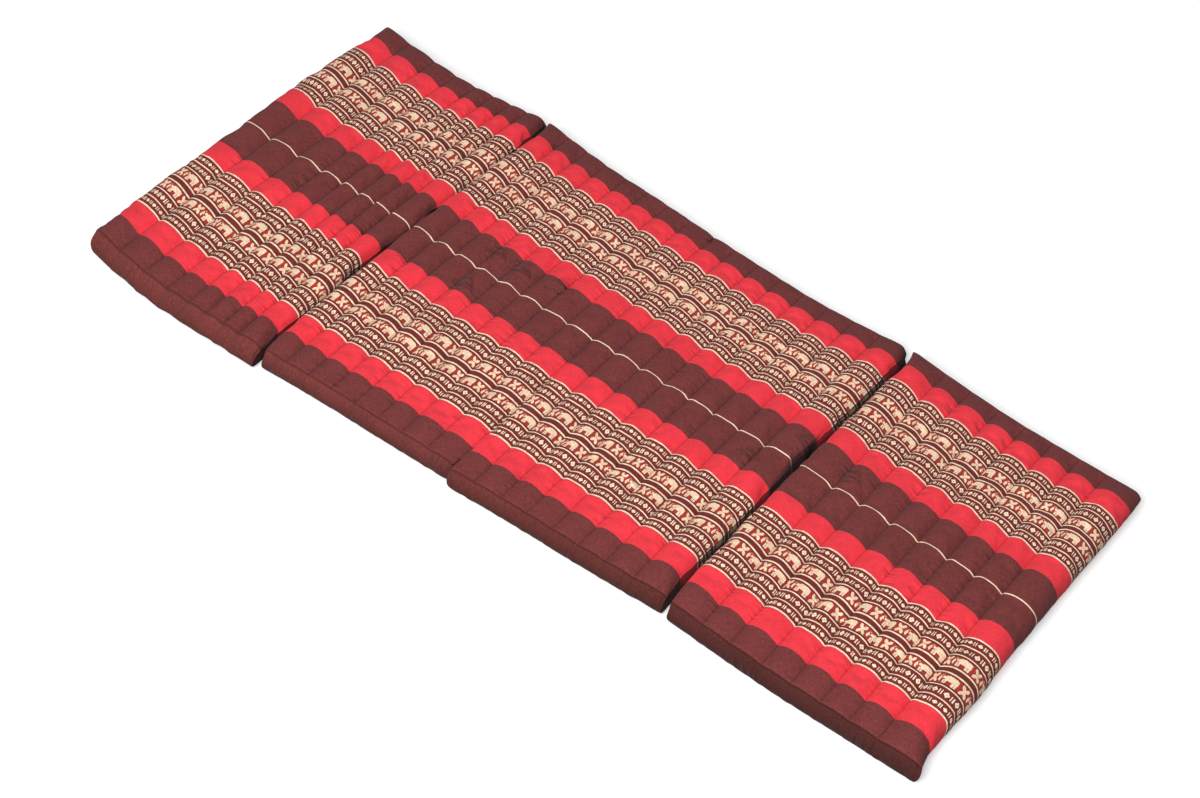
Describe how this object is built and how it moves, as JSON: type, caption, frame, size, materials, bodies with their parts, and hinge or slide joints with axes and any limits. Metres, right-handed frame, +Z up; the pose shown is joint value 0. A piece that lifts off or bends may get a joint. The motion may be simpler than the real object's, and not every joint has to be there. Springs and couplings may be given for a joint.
{
  "type": "folding kapok floor mattress",
  "caption": "Folding floor mattress laid out flat: kapok-filled pads with sewn cross channels in a striped cotton cover, joined by narrow fold strips, for lying or sitting on a floor.",
  "frame": {"origin": "centre of the mattress on the floor it rests on", "axes": "+X along the length towards the end that is nearer in the picture, +Y across the width towards the far long side, +Z up"},
  "size_m": [2.0394, 0.8492, 0.0751],
  "materials": {
    "striped_cotton": "woven cotton with red, dark maroon and brocade stripes",
    "maroon_cotton": "plain woven cotton"
  },
  "bodies": {
    "root": {"pad_1": "striped_cotton", "pad_2": "striped_cotton", "pad_3": "striped_cotton", "pad_4": "striped_cotton", "fold_strip_1": "maroon_cotton", "fold_strip_2": "striped_cotton", "fold_strip_3": "maroon_cotton"}
  },
  "joints": []
}
